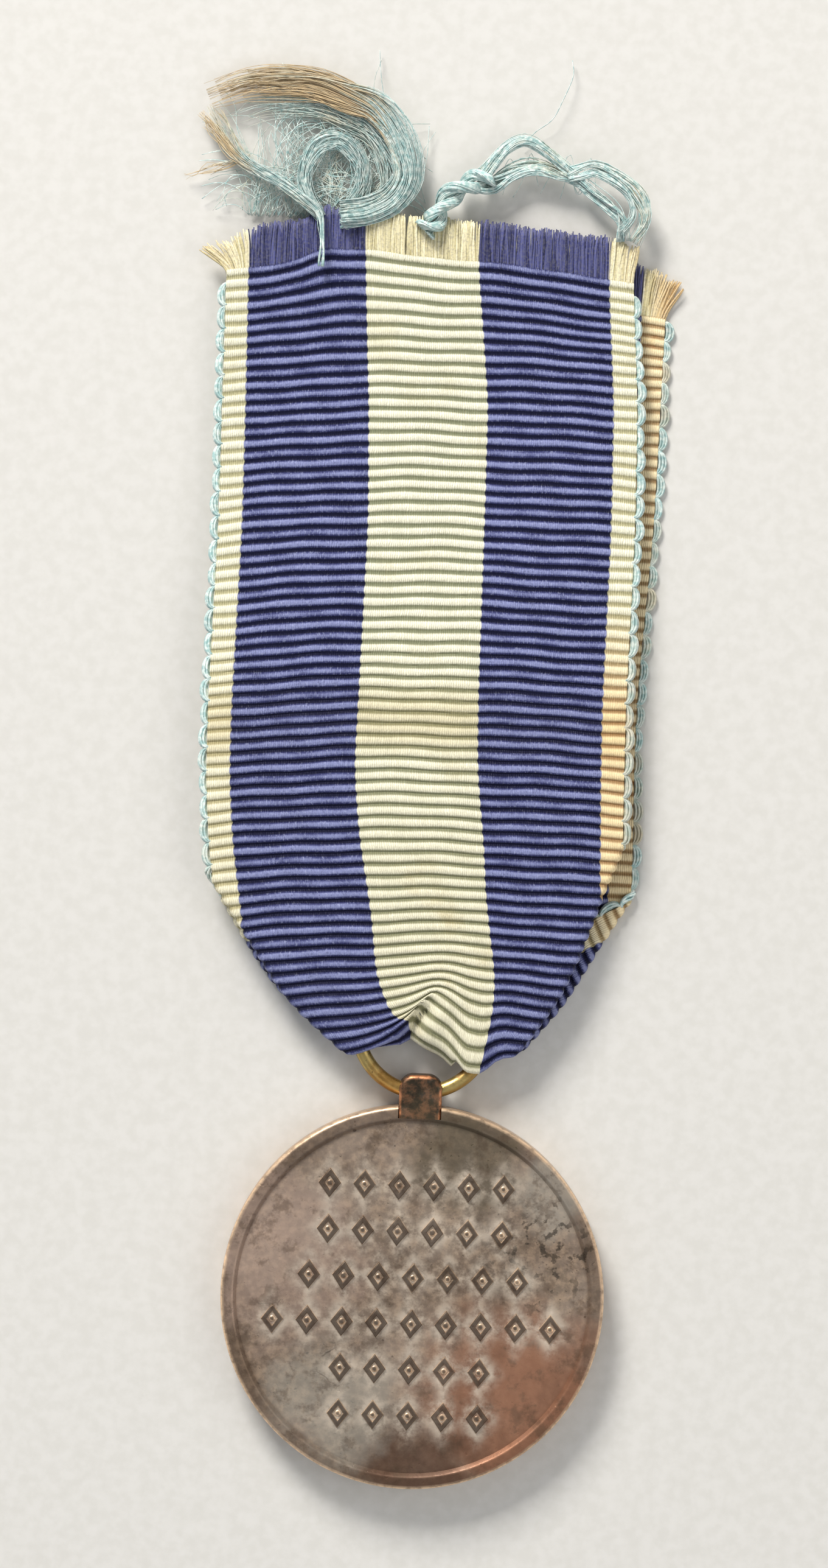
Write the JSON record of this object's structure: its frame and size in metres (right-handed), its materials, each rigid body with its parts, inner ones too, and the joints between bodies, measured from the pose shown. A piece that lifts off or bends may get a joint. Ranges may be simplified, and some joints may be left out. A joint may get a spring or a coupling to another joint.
{
  "type": "military service medal",
  "caption": "Round struck bronze medal with a lug, hanging by a wire ring from a folded ribbed ribbon with pale and dark stripes and frayed ends.",
  "frame": {"origin": "centre of the disc, in the plane that the disc's back face and the ribbon's back layer rest on", "axes": "+Y from the disc's centre through the lug and up the ribbon; +Z out of the shown face, away from the resting surface; +X to the right as the shown face is read"},
  "size_m": [0.0406, 0.1178, 0.003],
  "materials": {
    "disc": "worn bronze with a dark brown patina, satin",
    "lug": "dark patina, worn to copper at the edges",
    "ring": "worn, satin",
    "cream": "aged ribbed silk",
    "navy": "ribbed silk with a soft sheen",
    "weft": "fine loose yarn"
  },
  "bodies": {
    "ribbon_upper": {"front_centre_stripe": "cream", "front_dark_stripe_left": "navy", "front_dark_stripe_right": "navy", "front_edge_stripe_left": "cream", "front_edge_stripe_right": "cream", "back_centre_stripe": "cream", "back_dark_stripe_left": "navy", "back_dark_stripe_right": "navy", "back_edge_stripe_left": "cream", "back_edge_stripe_right": "cream", "front_edge_loops_left": "weft", "front_edge_loops_right": "weft", "back_edge_loops_left": "weft", "back_edge_loops_right": "weft", "front_frayed_ends": "navy", "back_frayed_ends": "navy", "twisted_weft_skein": "weft", "tangled_weft_tuft": "weft"},
    "ribbon_fold": {"lower_front_centre": "cream", "lower_front_dark_left": "navy", "lower_front_dark_right": "navy", "lower_back_centre": "cream", "lower_back_dark_left": "navy", "lower_back_dark_right": "navy", "turned_corner_front_left": "navy", "turned_corner_front_right": "navy", "turned_corner_back_left": "navy", "turned_corner_back_right": "navy", "fold_through_ring": "cream"},
    "ring": {"jump_ring": "ring"},
    "medal": {"medal_disc": "disc", "suspension_lug": "lug"}
  },
  "joints": [
    {"name": "ribbon_bend", "type": "hinge", "parent": "ribbon_upper", "child": "ribbon_fold", "pos_m": [0, 0.0355, 0.0015], "axis": [1, 0, 0], "range_deg": [-45, 45]},
    {"name": "ring_turn", "type": "hinge", "parent": "ribbon_fold", "child": "ring", "pos_m": [0, 0.02255, 0.0015], "axis": [0, 0, 1], "range_deg": [-15, 15]},
    {"name": "medal_swing", "type": "hinge", "parent": "ring", "child": "medal", "pos_m": [0, 0.01705, 0.0015], "axis": [1, 0, 0], "range_deg": [-100, 100]}
  ]
}
